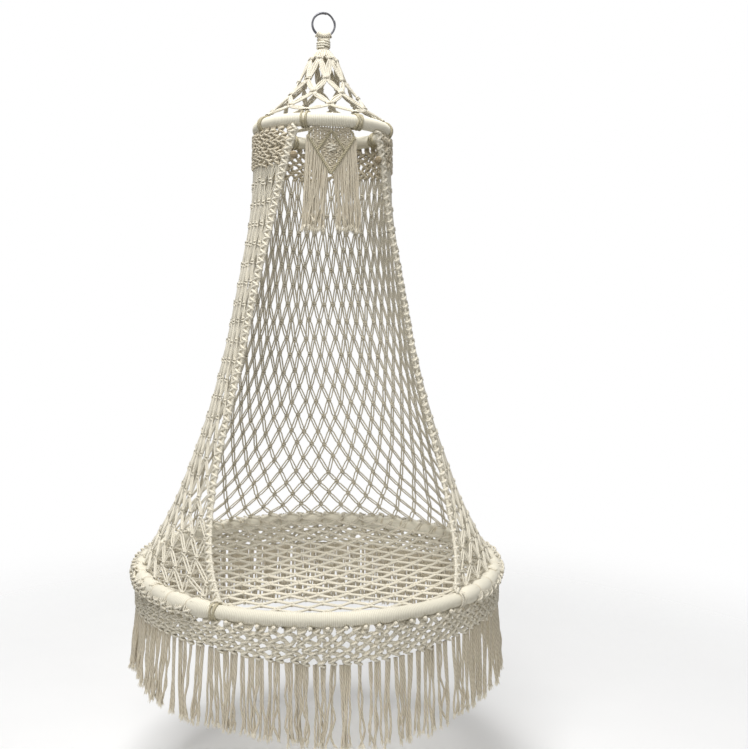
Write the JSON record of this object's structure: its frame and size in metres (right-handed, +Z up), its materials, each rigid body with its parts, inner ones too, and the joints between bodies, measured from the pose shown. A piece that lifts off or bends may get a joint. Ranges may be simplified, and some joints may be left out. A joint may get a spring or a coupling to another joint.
{
  "type": "hammock chair",
  "caption": "Hanging chair of knotted cotton cord: a small upper hoop, an open-fronted bell of netting, a wound seat hoop with a net seat and a fringed skirt, hung from a steel ring.",
  "frame": {"origin": "the point inside the top of the hanging ring where a hook bears", "axes": "+Z up, the open front faces -Y, the hanging ring lies in the XZ plane, +X is the chair's left as seen by its sitter facing out, and the right of a person who looks at its front"},
  "size_m": [0.8091, 0.8098, 1.4319],
  "materials": {
    "ring_steel": "darkened, satin",
    "hoop_steel": "galvanised tube, hidden under the winding",
    "cotton_cord": "creamy off-white twisted cotton cord, matt",
    "knotted_cord": "creamy cotton cord in tight knots, matt, warmer in the shade"
  },
  "bodies": {
    "ring": {"hanging_ring": "ring_steel"},
    "loop": {"cord_loop": "cotton_cord"},
    "chair": {"upper_hoop": "hoop_steel", "lower_hoop": "hoop_steel", "neck_cords": "cotton_cord", "crown_net": "cotton_cord", "upper_hoop_winding": "cotton_cord", "upper_band": "cotton_cord", "edge_braid_left": "cotton_cord", "edge_braid_right": "cotton_cord", "lower_hoop_winding_rear": "cotton_cord", "lower_hoop_winding_front": "cotton_cord", "seat_net": "cotton_cord", "skirt_band": "cotton_cord", "skirt_fringe_front": "cotton_cord", "skirt_fringe_right": "cotton_cord", "skirt_fringe_back": "cotton_cord", "skirt_fringe_left": "cotton_cord", "neck_binding": "knotted_cord", "body_net": "knotted_cord", "corner_knot_left": "knotted_cord", "corner_knot_right": "knotted_cord", "braid_foot_lashing_left": "knotted_cord", "braid_foot_lashing_right": "knotted_cord", "upper_lashing_1": "knotted_cord", "upper_lashing_2": "knotted_cord", "upper_lashing_3": "knotted_cord", "upper_lashing_4": "knotted_cord", "upper_lashing_5": "knotted_cord", "upper_lashing_6": "knotted_cord", "upper_lashing_7": "knotted_cord", "upper_lashing_8": "knotted_cord"},
    "ornament": {"front_ornament": "cotton_cord", "ornament_fringe_left": "cotton_cord", "ornament_fringe_right": "cotton_cord"}
  },
  "joints": [
    {"name": "side_swing", "type": "hinge", "parent": "ring", "child": "loop", "pos_m": [0, 0, -0.0226], "axis": [0, 1, 0], "range_deg": [-40, 40]},
    {"name": "fore_aft_swing", "type": "hinge", "parent": "loop", "child": "chair", "pos_m": [0, 0, -0.0468], "axis": [1, 0, 0], "range_deg": [-45, 45]},
    {"name": "ornament_swing", "type": "hinge", "parent": "chair", "child": "ornament", "pos_m": [0, -0.134, -0.26471], "axis": [1, 0, 0], "range_deg": [-50, 50]}
  ]
}
